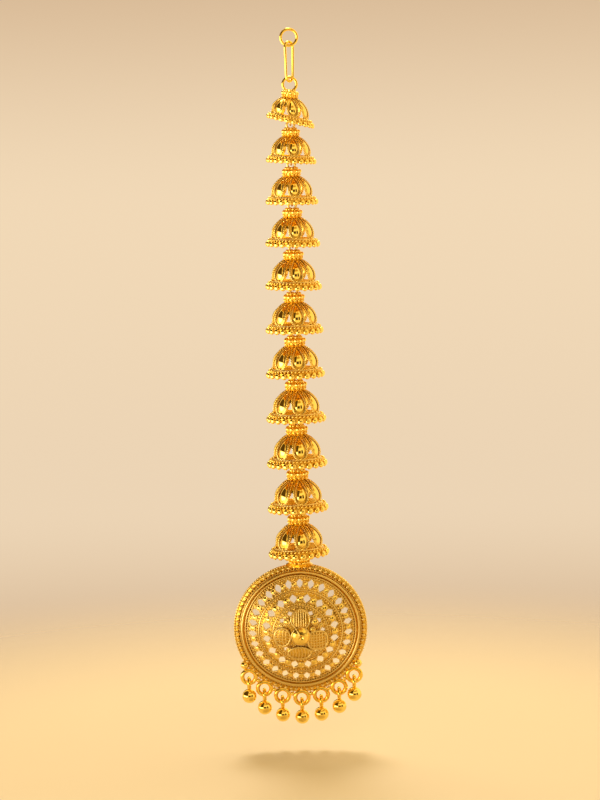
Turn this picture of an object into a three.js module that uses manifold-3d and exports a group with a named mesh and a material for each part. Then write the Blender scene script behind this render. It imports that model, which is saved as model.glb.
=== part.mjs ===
// A maang tikka: a gold forehead jewel that hangs from a small ring in the hair.
// Below the ring come a long link, a column of little bells that grow downwards,
// and a round filigree medallion with a fringe of ball drops.
//
// Millimetres, +Z up, -Y to the front. The origin is the centre of the top ring,
// and everything hangs from it at rest.

import * as THREE from 'three';
import { mergeVertices } from 'three/addons/utils/BufferGeometryUtils.js';
import Module from 'manifold-3d';

const wasm = await Module();
wasm.setup();

// ---------------------------------------------------------------- dimensions

// Top ring, long link, and the ring soldered on the first bell's crown.
const TOP_RING = { radius: 1.69, wire: 0.52 };
const CROWN_RING = { radius: 1.43, wire: 0.52, z: -9.67 };
const LONG_LINK = { top: -0.6, bottom: -9.4, radius: 1.2, wire: 0.56, foot: 0.8, turn: 44 };

// Bells. Sizes are those of the lowest bell, and the others are scaled copies.
const BELL_COUNT = 11;
const BELL_WIDTH = 13.1;             // outer width of the lowest bell's bead row
const BELL_TAPER = 0.227;            // the first bell is this much narrower
const FIRST_BELL_Z = -17.5;          // height of the first bell's bead row
const PITCH_BASE = 3.1;              // pitch = base + share of the mean width
const PITCH_SHARE = 0.5;
const BELL_SIDES = 14;               // two sides for each of the seven petals
const BELL_TURN = 8.6;               // the front petal stands this far right of front, in degrees
const CROWN_TOP = 8.3;
const DOME_INSIDE_TOP = 6.4;
const CROWN_STIFFNESS = 0.6;         // share of the rim's slope that the crown doesn't have

// Each bell's rim, from the first down: how far it slopes down to the right, in degrees.
const RIM_SLOPE = [13.9, 3.2, 0.6, 1.1, 1.1, 0.2, -0.8, -0.5, -1.0, -1.8, -2.3];

// The bell's wall, from the crown's top over the outside to the inside: radius and height.
const BELL_WALL = [
  { r: 0.0, z: CROWN_TOP },          // crown
  { r: 2.3, z: CROWN_TOP },
  { r: 2.65, z: 7.7 },
  { r: 2.1, z: 7.0 },                // neck
  { r: 3.95, z: 5.6 },               // dome
  { r: 4.95, z: 3.9 },
  { r: 5.0, z: 1.4 },
  { r: 6.1, z: 1.2 },                // flange
  { r: 6.55, z: 0.0 },               // bead row
  { r: 5.9, z: -0.57 },
  { r: 5.3, z: 0.2 },
  { r: 4.5, z: 1.4 },                // inside
  { r: 4.45, z: 3.7 },
  { r: 3.4, z: 5.3 },
  { r: 0.0, z: DOME_INSIDE_TOP },
];

// The see-through window between two petals, a triangle with its point up.
const WINDOW = { width: 1.5, bottom: 1.65, top: 3.3 };
const PETAL_COUNT = 7;

// The small eyes on the crowns and inside the bells, and the links between them.
const EYE = { radius: 0.8, wire: 0.5, sunk: 0.2 };
const HIDDEN_LINK = { radius: 0.78, wire: 0.45 };

// Medallion. Its own frame has the disc's centre at the origin and the face towards -Y.
const PIVOT_Z = -108.5;              // where the medallion's eye hangs in the last link
const LEAN = 4.8;                    // the face tips down by this much, in degrees
const EYE_BEHIND = 0.85;             // the eye stands this far behind the disc's middle
const DISC = { outer: 14.3, ring: 12.8, inner: 12.1, front: -0.85, back: 0.75 };
const DISC_SIDES = 36;
const COLLAR = { bottom: 13.6, top: 15.9, neck: 2.2, width: 2.7 };
const DOME = { radius: 11.7, height: 4.0, span: 12.1, wall: 0.6, sides: 27 };
const DOME_STEPS = [11.7, 8.9, 5.9, 3.0];

// Pierced gaps in the dome's two bands: where, how many, and their half sizes.
const GAP_BANDS = [
  { radius: 10.4, count: 27, wide: 0.62, tall: 0.85 },
  { radius: 7.3, count: 16, wide: 0.68, tall: 0.8 },
];

// The flower on the dome: a head and a neck for each petal, and the boss.
const FLOWER = { head: 1.9, reach: 3.5, neck: 0.75, lift: 0.3, wall: 0.6, boss: 1.9, bossTop: 5.4 };
const PETAL_ANGLES = [90, 190, 265, 338];

// Loops along the lower rim and the ball drops that hang in them.
const LOOP = { radius: 1.44, wire: 0.92, place: 15.5, step: 15.55, y: 0.1 };
const DROP_COUNT = 7;
const END_BALL = { radius: 0.9, place: 14.5, angle: 56.6 };
const DROP = { eye: 1.08, wire: 0.85, ball: 1.55, fall: 2.79 };

// ------------------------------------------------------------------ materials

const gold = {
  wire: { color: 0xe0ad3c, roughness: 0.2, metalness: 1 },
  bell: { color: 0xd9a233, roughness: 0.28, metalness: 1 },
  filigree: { color: 0xd39a2e, roughness: 0.35, metalness: 1 },
  ball: { color: 0xe6b445, roughness: 0.12, metalness: 1 },
};

// -------------------------------------------------------------------- helpers

const radians = THREE.MathUtils.degToRad;

/** The closed mesh of a geometry as a solid that can be joined and cut. */
function solidOf(geometry) {
  const bare = geometry.index ? geometry.toNonIndexed() : geometry.clone();
  bare.deleteAttribute('normal');
  bare.deleteAttribute('uv');
  const merged = mergeVertices(bare, 1e-4);
  const corners = merged.index.array;
  const kept = [];
  for (let i = 0; i < corners.length; i += 3) {
    const [a, b, c] = corners.slice(i, i + 3);
    if (a !== b && b !== c && c !== a) kept.push(a, b, c);
  }
  return new wasm.Manifold(new wasm.Mesh({
    numProp: 3,
    vertProperties: new Float32Array(merged.attributes.position.array),
    triVerts: new Uint32Array(kept),
  }));
}

/** A solid's surface as a geometry again. */
function geometryOf(solid) {
  const mesh = solid.getMesh();
  const geometry = new THREE.BufferGeometry();
  geometry.setAttribute('position', new THREE.BufferAttribute(mesh.vertProperties, 3));
  geometry.setIndex(new THREE.BufferAttribute(mesh.triVerts, 1));
  return geometry;
}

function joined(geometries) {
  return geometries.map(solidOf).reduce((whole, piece) => whole.add(piece));
}

/** A named mesh in one of the gold finishes. */
function piece(name, geometry, finish) {
  const shaded = geometry.clone();
  shaded.computeVertexNormals();
  const mesh = new THREE.Mesh(shaded, new THREE.MeshStandardMaterial(gold[finish]));
  mesh.name = name;
  return mesh;
}

/**
 * A ring of round wire facing the front, its hole along Y. With a stretch, its
 * upper half moves up and its lower half down, which makes a long link.
 */
function wireRing(radius, wire, { sides = 6, steps = 10, stretch = 0 } = {}) {
  const ring = new THREE.TorusGeometry(radius, wire / 2, sides, steps);
  ring.rotateZ(Math.PI / steps);
  ring.rotateX(Math.PI / 2);
  const spots = ring.attributes.position;
  for (let i = 0; i < spots.count; i += 1) {
    spots.setZ(i, spots.getZ(i) + Math.sign(spots.getZ(i)) * stretch);
  }
  return ring;
}

/** A turned solid about Z from rows of radius and height, from the axis back to the axis. */
function turned(rows, sides) {
  const profile = [...rows].reverse().map(({ r, z }) => new THREE.Vector2(r, z));
  const solid = new THREE.LatheGeometry(profile, sides);
  solid.rotateX(Math.PI / 2);
  return solid;
}

/** A prism along Y through an outline in X and Z, from one y to another. */
function prism(outline, from, to) {
  const solid = new THREE.ExtrudeGeometry(outline, { depth: to - from, bevelEnabled: false, curveSegments: 6 });
  solid.rotateX(Math.PI / 2);
  return solid.translate(0, to, 0);
}

function polygon(points) {
  return new THREE.Shape(points.map(([x, z]) => new THREE.Vector2(x, z)));
}

// ----------------------------------------------------------------- the bells

function bellScale(index) {
  const above = 1 - index / (BELL_COUNT - 1);
  return 1 - BELL_TAPER * above * above;
}

/** Heights of the bead rows, from the first bell down. */
function bellHeights() {
  const heights = [FIRST_BELL_Z];
  for (let i = 1; i < BELL_COUNT; i += 1) {
    const meanWidth = BELL_WIDTH * (bellScale(i - 1) + bellScale(i)) / 2;
    heights.push(heights[i - 1] - PITCH_BASE - PITCH_SHARE * meanWidth);
  }
  return heights;
}

const BELL_HEIGHTS = bellHeights();

/** Height of the eye on a bell's crown, and of the one under its dome. */
function crownEyeZ(index) {
  return BELL_HEIGHTS[index] + CROWN_TOP * bellScale(index) + EYE.radius + EYE.wire / 2 - EYE.sunk;
}

function innerEyeZ(index) {
  const underDome = DOME_INSIDE_TOP * bellScale(index);
  return BELL_HEIGHTS[index] + underDome - EYE.radius - EYE.wire / 2 + EYE.sunk;
}

/** The windowed wall of one bell, its bead row at z = 0, with its rim askew. */
function bellWall(index) {
  const size = bellScale(index);
  const wall = turned(BELL_WALL, BELL_SIDES);
  wall.rotateZ(radians(180 / BELL_SIDES + BELL_TURN));
  const halfWidth = WINDOW.width / 2;
  const opening = prism(
    polygon([[-halfWidth, WINDOW.bottom], [halfWidth, WINDOW.bottom], [0, WINDOW.top]]),
    -BELL_WIDTH,
    -1,
  );
  let solid = solidOf(wall);
  for (let i = 0; i < PETAL_COUNT; i += 1) {
    const azimuth = BELL_TURN + (i + 0.5) * 360 / PETAL_COUNT;
    solid = solid.subtract(solidOf(opening.clone().rotateZ(radians(azimuth))));
  }
  const geometry = geometryOf(solid).scale(size, size, size);
  const slope = Math.tan(radians(RIM_SLOPE[index]));
  const spots = geometry.attributes.position;
  for (let i = 0; i < spots.count; i += 1) {
    const height = spots.getZ(i) / (CROWN_TOP * size);
    const askew = slope * (1 - CROWN_STIFFNESS * height);
    spots.setZ(i, spots.getZ(i) - spots.getX(i) * askew);
  }
  return geometry;
}

function bell(index) {
  const wall = bellWall(index).translate(0, 0, BELL_HEIGHTS[index]);
  const innerEye = wireRing(EYE.radius, EYE.wire, { sides: 4, steps: 8 }).translate(0, 0, innerEyeZ(index));
  const top = index === 0
    ? wireRing(CROWN_RING.radius, CROWN_RING.wire, { sides: 8, steps: 18 }).translate(0, 0, CROWN_RING.z)
    : wireRing(EYE.radius, EYE.wire, { sides: 4, steps: 8 }).translate(0, 0, crownEyeZ(index));
  return geometryOf(joined([wall, innerEye, top]));
}

/** The link inside a bell, at right angles to the two eyes that it joins. */
function hiddenLink(index) {
  const top = innerEyeZ(index);
  const bottom = index + 1 < BELL_COUNT ? crownEyeZ(index + 1) : PIVOT_Z;
  const stretch = (top - bottom) / 2 - HIDDEN_LINK.radius;
  const link = wireRing(HIDDEN_LINK.radius, HIDDEN_LINK.wire, { stretch });
  return link.rotateZ(Math.PI / 2).translate(0, 0, (top + bottom) / 2);
}

/** The long link under the top ring, narrower at its foot and turned a little. */
function longLink() {
  const { top, bottom, radius, wire, foot, turn } = LONG_LINK;
  const half = (top - bottom) / 2;
  const link = wireRing(radius, wire, { sides: 8, steps: 16, stretch: half - radius - wire / 2 });
  const spots = link.attributes.position;
  for (let i = 0; i < spots.count; i += 1) {
    const down = (half - spots.getZ(i)) / (2 * half);
    spots.setX(i, spots.getX(i) * (1 - (1 - foot) * down));
  }
  return link.rotateZ(radians(90 - turn)).translate(0, 0, (top + bottom) / 2);
}

// ------------------------------------------------------------- the medallion

/** Height of the dome's front above the disc's middle, at a distance from the axis. */
function domeRise(r) {
  return DOME.height * (1 - (r / DOME.span) ** 2);
}

/** Turned about Y instead of Z: rows of radius and y, the front towards -Y. */
function turnedDisc(rows, sides) {
  return turned(rows.map(({ r, y }) => ({ r, z: -y })), sides).rotateX(Math.PI / 2);
}

/** A point of the rim, at an angle from straight down, positive to the right. */
function rimSpot(place, angle) {
  return new THREE.Vector3(place * Math.sin(radians(angle)), 0, -place * Math.cos(radians(angle)));
}

function loopSpots() {
  const middle = (DROP_COUNT - 1) / 2;
  return Array.from({ length: DROP_COUNT }, (_, i) => rimSpot(LOOP.place, (i - middle) * LOOP.step).setY(LOOP.y));
}

/** Border and raised ring: a closed section swept round the disc. */
function rimBand() {
  const { outer, ring, inner, front, back } = DISC;
  const section = [
    { r: inner, y: front + 0.2 },
    { r: inner + 0.15, y: front },
    { r: ring - 0.1, y: front },
    { r: ring + 0.15, y: -0.25 },
    { r: outer - 0.15, y: 0.1 },
    { r: outer, y: 0.4 },
    { r: outer - 0.15, y: back },
    { r: inner, y: back },
    { r: inner, y: front + 0.2 },
  ];
  return turnedDisc(section, DISC_SIDES);
}

/** The flared collar that joins the disc to the eye in the last bell. */
function collar() {
  const { bottom, top, neck, width } = COLLAR;
  const rows = [
    { r: 0, z: top },
    { r: neck, z: top },
    { r: width, z: top - 0.7 },
    { r: neck, z: top - 1.3 },
    { r: 1.2, z: bottom },
    { r: 0, z: bottom },
  ];
  return turned(rows, BELL_SIDES).translate(0, EYE_BEHIND, 0);
}

function medallionRim() {
  const eyeZ = COLLAR.top + EYE.radius + EYE.wire / 2 - EYE.sunk;
  const eye = wireRing(EYE.radius, EYE.wire, { sides: 6, steps: 10 }).translate(0, EYE_BEHIND, eyeZ);
  const loops = loopSpots().map(({ x, y, z }) => (
    wireRing(LOOP.radius, LOOP.wire, { sides: 6, steps: 12 }).translate(x, y, z)
  ));
  const ends = [-END_BALL.angle, END_BALL.angle].map((angle) => {
    const { x, z } = rimSpot(END_BALL.place, angle);
    return new THREE.SphereGeometry(END_BALL.radius, 8, 6).translate(x, 0, z);
  });
  return geometryOf(joined([rimBand(), collar(), eye, ...loops, ...ends]));
}

/** The dome as a shell of the given lift above its own surface. */
function domeShell(steps, lift, wall) {
  const front = [{ r: 0, y: -domeRise(0) - lift - wall }];
  const back = [{ r: 0, y: -domeRise(0) - lift }];
  for (const r of [...steps].reverse()) {
    front.push({ r, y: -domeRise(r) - lift - wall });
    back.push({ r, y: -domeRise(r) - lift });
  }
  return turnedDisc([...front, ...back.reverse()], DOME.sides);
}

/** The pierced dome: two bands of diamond-shaped gaps cut through the shell. */
function filigreeDome() {
  let solid = solidOf(domeShell(DOME_STEPS, -DOME.wall, DOME.wall));
  for (const { radius, count, wide, tall } of GAP_BANDS) {
    const outline = polygon([[-wide, radius], [0, radius - tall], [wide, radius], [0, radius + tall]]);
    const cutter = prism(outline, -2 * DOME.height, DOME.height);
    for (let i = 0; i < count; i += 1) {
      solid = solid.subtract(solidOf(cutter.clone().rotateY((i + 0.5) * 2 * Math.PI / count)));
    }
  }
  return geometryOf(solid);
}

/** Four petals cut from a shell that follows the dome, and the boss at their centre. */
function flower() {
  const { head, reach, neck, lift, wall, boss, bossTop } = FLOWER;
  const front = -2 * DOME.height;
  const outlines = PETAL_ANGLES.map((angle) => {
    const round = new THREE.CylinderGeometry(head, head, -front, 12).translate(reach, front / 2, 0);
    const stalk = new THREE.BoxGeometry(reach, -front, 2 * neck).translate(reach / 2, front / 2, 0);
    return joined([round, stalk]).rotate([0, -angle, 0]);
  });
  const petals = outlines.reduce((whole, outline) => whole.add(outline));
  const shell = solidOf(domeShell([reach + 2 * head, reach, head], lift, wall));
  const bossRise = domeRise(0) + lift;
  const centre = new THREE.CylinderGeometry(boss * 0.75, boss, bossTop - bossRise, 14);
  centre.rotateX(Math.PI).translate(0, -(bossTop + bossRise) / 2, 0);
  return geometryOf(petals.intersect(shell).add(solidOf(centre)));
}

/** A ball with its eye; the origin is the middle of the wire that it hangs on. */
function drop() {
  const { eye, wire, ball, fall } = DROP;
  const hook = wireRing(eye, wire, { sides: 6, steps: 12 }).rotateZ(Math.PI / 2);
  const round = new THREE.SphereGeometry(ball, 10, 8).rotateX(Math.PI / 2).translate(0, 0, -fall);
  return geometryOf(joined([hook, round]));
}

// --------------------------------------------------------------- the assembly

function number(index) {
  return String(index + 1).padStart(2, '0');
}

const tikka = new THREE.Group();
tikka.add(piece('top_ring', wireRing(TOP_RING.radius, TOP_RING.wire, { sides: 8, steps: 20 }), 'wire'));
tikka.add(piece('long_link', longLink(), 'wire'));
for (let i = 0; i < BELL_COUNT; i += 1) {
  tikka.add(piece(`bell_${number(i)}`, bell(i), 'bell'));
  tikka.add(piece(`link_${number(i)}`, hiddenLink(i), 'wire'));
}

// The pivot leans; the disc's centre hangs below and a little in front of it.
const pendant = new THREE.Group();
pendant.position.z = PIVOT_Z;
pendant.rotation.x = radians(LEAN);
const disc = new THREE.Group();
disc.position.set(0, -EYE_BEHIND, -(COLLAR.top + EYE.radius + EYE.wire / 2 - EYE.sunk));
disc.add(piece('medallion_rim', medallionRim(), 'filigree'));
disc.add(piece('filigree_dome', filigreeDome(), 'filigree'));
disc.add(piece('flower', flower(), 'filigree'));
pendant.add(disc);
tikka.add(pendant);

// The drops hang plumb from the lowest point of each loop's wire.
tikka.updateMatrixWorld(true);
loopSpots().forEach((spot, i) => {
  const mesh = piece(`drop_${i + 1}`, drop(), 'ball');
  mesh.position.copy(disc.localToWorld(spot.setZ(spot.z - LOOP.radius)));
  tikka.add(mesh);
});

export default tikka;
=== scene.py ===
"""A maang tikka, the gold jewel that hangs on the forehead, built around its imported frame.

From the top: a ring and a long link, a column of eleven little bells that grow
downwards, and a round filigree medallion with a fringe of ball drops. Metres,
+Z up, the front towards -Y. Sizes in the tables below are millimetres times MM.
"""

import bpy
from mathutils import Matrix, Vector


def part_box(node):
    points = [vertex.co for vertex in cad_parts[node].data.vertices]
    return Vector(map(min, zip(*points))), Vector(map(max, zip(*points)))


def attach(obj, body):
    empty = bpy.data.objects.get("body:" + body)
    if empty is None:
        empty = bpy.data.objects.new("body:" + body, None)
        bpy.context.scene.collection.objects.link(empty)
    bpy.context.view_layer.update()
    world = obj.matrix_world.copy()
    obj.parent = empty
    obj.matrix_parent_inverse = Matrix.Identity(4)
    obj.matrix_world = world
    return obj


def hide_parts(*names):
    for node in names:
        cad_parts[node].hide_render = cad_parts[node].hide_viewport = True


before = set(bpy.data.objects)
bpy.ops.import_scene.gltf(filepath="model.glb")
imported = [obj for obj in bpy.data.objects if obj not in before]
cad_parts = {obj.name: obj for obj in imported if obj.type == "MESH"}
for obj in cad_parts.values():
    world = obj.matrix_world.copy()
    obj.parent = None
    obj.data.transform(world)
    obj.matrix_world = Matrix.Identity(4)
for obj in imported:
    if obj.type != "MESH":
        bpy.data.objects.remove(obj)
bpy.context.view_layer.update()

from math import cos, hypot, pi, radians, sin, sqrt, tan, tau

import bmesh
import bpy
from bpy.props import FloatProperty, FloatVectorProperty, IntProperty, PointerProperty
from mathutils import Matrix, Vector

bl_info = {
    "name": "Maang Tikka",
    "version": (1, 0, 0),
    "blender": (4, 5, 0),
    "location": "View3D > Sidebar > Tikka",
    "description": "Builds a gold forehead jewel of little bells and a filigree medallion",
    "category": "Add Mesh",
}

MM = 0.001

# ------------------------------------------------------------- driving sizes

# The column of bells. A bell is modelled at the lowest one's size.
BELL_COUNT = 11
BELL_WIDTH = 13.1 * MM
BELL_TAPER = 0.227                   # the first bell is this much narrower
FIRST_BELL_Z = -17.5 * MM            # height of the first bell's bead row
PITCH_BASE = 3.1 * MM
PITCH_SHARE = 0.5
BELL_TURN = 8.6                      # the front petal stands this far right of front, in degrees
PETALS = 7
CROWN_TOP = 8.3 * MM
CROWN_STIFFNESS = 0.6                # share of the rim's slope that the crown doesn't have
INNER_EYE_Z = 6.4 * MM

# How far each bell's rim slopes down to the right, from the first bell, in degrees.
RIM_SLOPE = [13.9, 3.2, 0.6, 1.1, 1.1, 0.2, -0.8, -0.5, -1.0, -1.8, -2.3]

# The bell's dome is part of an egg: its middle's height, its reach and its rise.
EGG = {"middle": 2.5 * MM, "reach": 4.82 * MM, "rise": 4.45 * MM, "taper": 0.66}

# The bell's shell, from its foot to its top, and the height of its windows.
SHELL = {"foot": 1.3 * MM, "top": 6.9 * MM, "wall": 0.28 * MM}
WINDOW = {"foot": 1.6 * MM, "top": 4.15 * MM}

# The small eyes and links between the bells.
EYE = {"radius": 0.8 * MM, "wire": 0.5 * MM, "sunk": 0.2 * MM}
EYE_RISE = EYE["radius"] + EYE["wire"] / 2 - EYE["sunk"]
LINK = {"radius": 0.78 * MM, "wire": 0.45 * MM}

# The medallion hangs from a pivot and leans; its disc's middle is at an offset from there.
PIVOT_Z = -108.5 * MM
LEAN = 4.8
EYE_BEHIND = 0.85 * MM
COLLAR_TOP = 15.9 * MM
DOME = {"rise": 4.0 * MM, "span": 12.1 * MM, "edge": 11.75 * MM, "wall": 0.4 * MM}
FLOWER_LIFT = 0.3 * MM

# Loops along the lower rim, and the ball drops in them.
LOOP = {"radius": 1.44 * MM, "wire": 0.92 * MM, "place": 15.5 * MM, "step": 15.55, "y": 0.1 * MM}
DROPS = 7
END_BALL = {"radius": 0.9 * MM, "place": 14.5 * MM, "angle": 56.6}

LONG_LINK_TURN = 44.0                # degrees from edge on
CROWN_RING_WIRE = 0.58 * MM

# The stage: a floor that fades out, one lamp behind the jewel and the camera.
FLOOR_Z = -152.0 * MM
FLOOR = {"radius": 0.22, "solid": 0.06, "gone": 0.2}
LAMP = {"place": (-0.03, 0.2, 0.3), "aim": (0, -0.01, FLOOR_Z), "size": 0.16, "colour": (1.0, 0.86, 0.66)}
CAMERA = {"place": (0.85 * MM, -583 * MM, -5.1 * MM), "down": 6.94, "roll": -1.15}


# --------------------------------------------------------------- properties


def length(name, description, size):
    """A length that the user may change, its default given in millimetres."""
    default = size * MM
    return FloatProperty(name=name, description=description, default=default, precision=5, unit="LENGTH")


def colour(name, description, value):
    return FloatVectorProperty(name=name, description=description, default=value, size=3, subtype="COLOR")


def share(name, description, value):
    return FloatProperty(name=name, description=description, default=value, min=0.0, subtype="FACTOR")


class WireSizes(bpy.types.PropertyGroup):
    """The plain wires at the top of the jewel."""

    ring_radius: length("Ring radius", "Top ring, to the middle of its wire", 1.69)
    ring_wire: length("Ring wire", "Thickness of the top ring's wire", 0.6)
    link_radius: length("Link radius", "End radius of the long link", 1.2)
    link_wire: length("Link wire", "Thickness of the long link's wire", 0.6)
    link_foot: share("Link foot", "Width of the long link's foot, as a share of its head", 0.8)
    crown_radius: length("Crown ring", "Ring soldered on the first bell", 1.43)


class BellSizes(bpy.types.PropertyGroup):
    """One bell, at the size of the lowest."""

    beads: IntProperty(name="Beads", description="Polished balls round the rim", default=22)
    bead: length("Bead", "Radius of a rim bead", 0.68)
    bead_row: length("Bead row", "Radius of the circle of beads", 6.05)
    granule: length("Granule", "Radius of a granule on the flange", 0.26)
    petal_width: length("Petal width", "Half the width of a mirror petal", 1.14)
    petal_height: length("Petal height", "Half the height of a mirror petal", 2.18)
    petal_middle: length("Petal middle", "Height of a petal's middle over the bead row", 4.03)
    petal_rise: length("Petal rise", "How far a petal bulges from the dome", 0.36)
    wire: length("Border wire", "Thickness of the plain wire round a petal", 0.22)
    rope: length("Rope", "Thickness of the twisted wire round a petal", 0.32)
    window: length("Window", "Width of the see-through window at its foot", 2.5)


class MedallionSizes(bpy.types.PropertyGroup):
    """The round filigree medallion."""

    ring_wire: length("Ring", "Thickness of the raised ring", 0.5)
    inner_wire: length("Inner ring", "Thickness of the thin ring inside it", 0.32)
    stud: length("Stud", "Radius of a stud on the border", 0.36)
    outer_gaps: IntProperty(name="Outer gaps", description="Gaps in the outer band", default=27)
    inner_gaps: IntProperty(name="Inner gaps", description="Gaps in the middle band", default=16)
    core_gaps: IntProperty(name="Core gaps", description="Gaps round the flower", default=13)
    granule: length("Granule", "Radius of a granule on the dome", 0.19)
    petal_line: length("Petal line", "Thickness of the wire round a flower petal", 0.4)
    rib: length("Rib", "Thickness of the ribs in a flower petal", 0.22)


class DropSizes(bpy.types.PropertyGroup):
    """A ball drop and its eye."""

    eye: length("Eye", "Radius of the eye, to the middle of its wire", 1.08)
    eye_wire: length("Eye wire", "Thickness of the eye's wire", 0.85)
    ball: length("Ball", "Radius of the ball", 1.55)
    fall: length("Fall", "From the eye's seat down to the ball's middle", 2.79)


class GoldLook(bpy.types.PropertyGroup):
    """The colours of the gold, and the painted shade laid into its hollows."""

    bright: colour("Bright gold", "Gold where it is polished", (1.0, 0.75, 0.19))
    rich: colour("Rich gold", "Gold where it is deeper in colour", (1.0, 0.63, 0.07))
    # This dark gold is painted shade: it stands in for the shade that falls in hollows and between wires.
    recess: colour("Recess gold", "Gold in the hollows, which no polishing reaches", (0.52, 0.25, 0.02))
    polish: share("Polish", "Roughness of the mirror parts", 0.07)
    satin: share("Satin", "Roughness of the cast parts", 0.27)


class StageLook(bpy.types.PropertyGroup):
    """The floor, the backdrop and the light."""

    floor: colour("Floor", "Pale floor under the jewel", (0.84, 0.74, 0.58))
    key: FloatProperty(name="Key", description="Brightness of the soft light at the left", default=4.6)
    top: FloatProperty(name="Top", description="Power of the light behind", default=0.9, unit="POWER")
    lens: FloatProperty(name="Lens", description="Focal length", default=125.0, unit="CAMERA")


# ---------------------------------------------------------- modelling helpers


def begin():
    """Leaves edit mode and deselects everything, the CAD nodes too."""
    if bpy.context.mode != "OBJECT":
        bpy.ops.object.mode_set(mode="OBJECT")
    bpy.ops.object.select_all(action="DESELECT")


def take(obj):
    """Makes obj the only selected object."""
    begin()
    obj.select_set(True)
    bpy.context.view_layer.objects.active = obj


def edit(obj, everything=False):
    take(obj)
    bpy.ops.object.mode_set(mode="EDIT")
    bpy.ops.mesh.select_mode(type="VERT")
    bpy.ops.mesh.select_all(action="SELECT" if everything else "DESELECT")


def pick(obj, test):
    """Selects the vertices of the mesh in edit mode whose place passes the test."""
    shape = bmesh.from_edit_mesh(obj.data)
    bpy.ops.mesh.select_all(action="DESELECT")
    for vert in shape.verts:
        vert.select_set(test(vert.co))
    shape.select_flush(True)
    bmesh.update_edit_mesh(obj.data)


def fresh(finish):
    """The object that an operator just added, its place put into its mesh and its finish given.

    The finish is the name of one of the golds, or of a material that is there already.
    """
    obj = bpy.context.object
    bpy.ops.object.transform_apply(location=True, rotation=True, scale=True)
    obj.data.materials.clear()
    obj.data.materials.append(gold(finish) if finish in FINISHES else bpy.data.materials[finish])
    bpy.ops.object.shade_smooth()
    return obj


def lay(obj, rule):
    """Moves every vertex of a mesh to where the rule says."""
    begin()
    for vert in obj.data.vertices:
        vert.co = rule(vert.co)
    obj.data.update()
    return obj


def round_about(obj, count):
    """Copies a mesh round Z, so that it stands there count times."""
    edit(obj, everything=True)
    angle = tau * (count - 1) / count
    bpy.ops.mesh.spin(steps=count - 1, dupli=True, angle=angle, center=(0, 0, 0), axis=(0, 0, 1))
    begin()
    return obj


def outward(obj):
    """Merges doubles and turns the faces outwards."""
    edit(obj, everything=True)
    bpy.ops.mesh.remove_doubles(threshold=0.001 * MM)
    bpy.ops.mesh.normals_make_consistent(inside=False)
    begin()
    return obj


def modified(obj, kind, **settings):
    """Adds a modifier to obj with these settings and applies it."""
    take(obj)
    modifier = obj.modifiers.new(kind.lower(), kind)
    for setting, value in settings.items():
        setattr(modifier, setting, value)
    bpy.ops.object.modifier_apply(modifier=modifier.name)
    return obj


def joined(name, parts):
    """One named object of several parts."""
    begin()
    for part in parts:
        part.select_set(True)
    bpy.context.view_layer.objects.active = parts[0]
    if len(parts) > 1:
        bpy.ops.object.join()
    whole = bpy.context.object
    whole.name = name
    whole.data.name = name
    return whole


def twin(obj):
    """A copy of obj with its own mesh."""
    copy = obj.copy()
    copy.data = obj.data.copy()
    bpy.context.scene.collection.objects.link(copy)
    return copy


def thrown_away(obj):
    bpy.data.objects.remove(obj)


def finished(piece, body, slot, *nodes):
    """Puts a finished piece on its body, in place of its CAD nodes. The slot is not used."""
    bpy.context.view_layer.update()
    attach(piece, body)
    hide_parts(*nodes)


# ----------------------------------------------------------- simple gold parts

ACROSS_Z = (0.0, 0.0, 0.0)           # a ring lying flat, its hole along Z
ACROSS_Y = (pi / 2, 0.0, 0.0)        # a ring facing the front
ACROSS_X = (0.0, pi / 2, 0.0)        # a ring seen edge on from the front


def ring(radius, wire, finish, at=(0, 0, 0), turn=ACROSS_Z, steps=48, sides=12):
    """A ring of round wire."""
    begin()
    bpy.ops.mesh.primitive_torus_add(
        major_radius=radius, minor_radius=wire / 2, major_segments=steps, minor_segments=sides,
        location=at, rotation=turn,
    )
    return fresh(finish)


def ball(radius, finish, at=(0, 0, 0), segments=12, rings=8, scale=(1, 1, 1), turn=(0, 0, 0)):
    """A ball or, when scaled, a lens."""
    begin()
    bpy.ops.mesh.primitive_uv_sphere_add(
        segments=segments, ring_count=rings, radius=radius, location=at, scale=scale, rotation=turn,
    )
    return fresh(finish)


def granules(count, radius, row, finish, height=0.0, segments=7, rings=5):
    """A circle of little balls round Z."""
    first = ball(radius, finish, at=(0, -row, height), segments=segments, rings=rings)
    return round_about(first, count)


def in_mm(*rows):
    """Rows of two sizes given in millimetres, such as the radius and height of a turned wall."""
    return [(first * MM, second * MM) for first, second in rows]


def turned(rows, finish, segments=84):
    """A wall spun round Z from rows of radius and height. It closes on itself."""
    begin()
    first_r, first_z = rows[0]
    bpy.ops.mesh.primitive_circle_add(vertices=segments, radius=first_r, location=(0, 0, first_z))
    wall = fresh(finish)
    edit(wall, everything=True)
    for (r, z), (next_r, next_z) in zip(rows, rows[1:] + rows[:1]):
        bpy.ops.mesh.extrude_region_move(TRANSFORM_OT_translate={"value": (0, 0, next_z - z)})
        bpy.ops.transform.resize(value=(next_r / r, next_r / r, 1), center_override=(0, 0, next_z))
    begin()
    return outward(wall)


def rope_section():
    """The outline of two strands laid together, for a rope of unit thickness."""
    outline = bpy.data.curves.new("strands", "CURVE")
    spline = outline.splines.new("POLY")
    corners = 8
    spline.points.add(corners - 1)
    for i, point in enumerate(spline.points):
        angle = tau * i / corners
        reach = 0.34 + 0.16 * cos(2 * angle)
        point.co = (reach * cos(angle), reach * sin(angle), 0, 1)
    spline.use_cyclic_u = True
    section = bpy.data.objects.new("strands", outline)
    bpy.context.scene.collection.objects.link(section)
    return section


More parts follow.
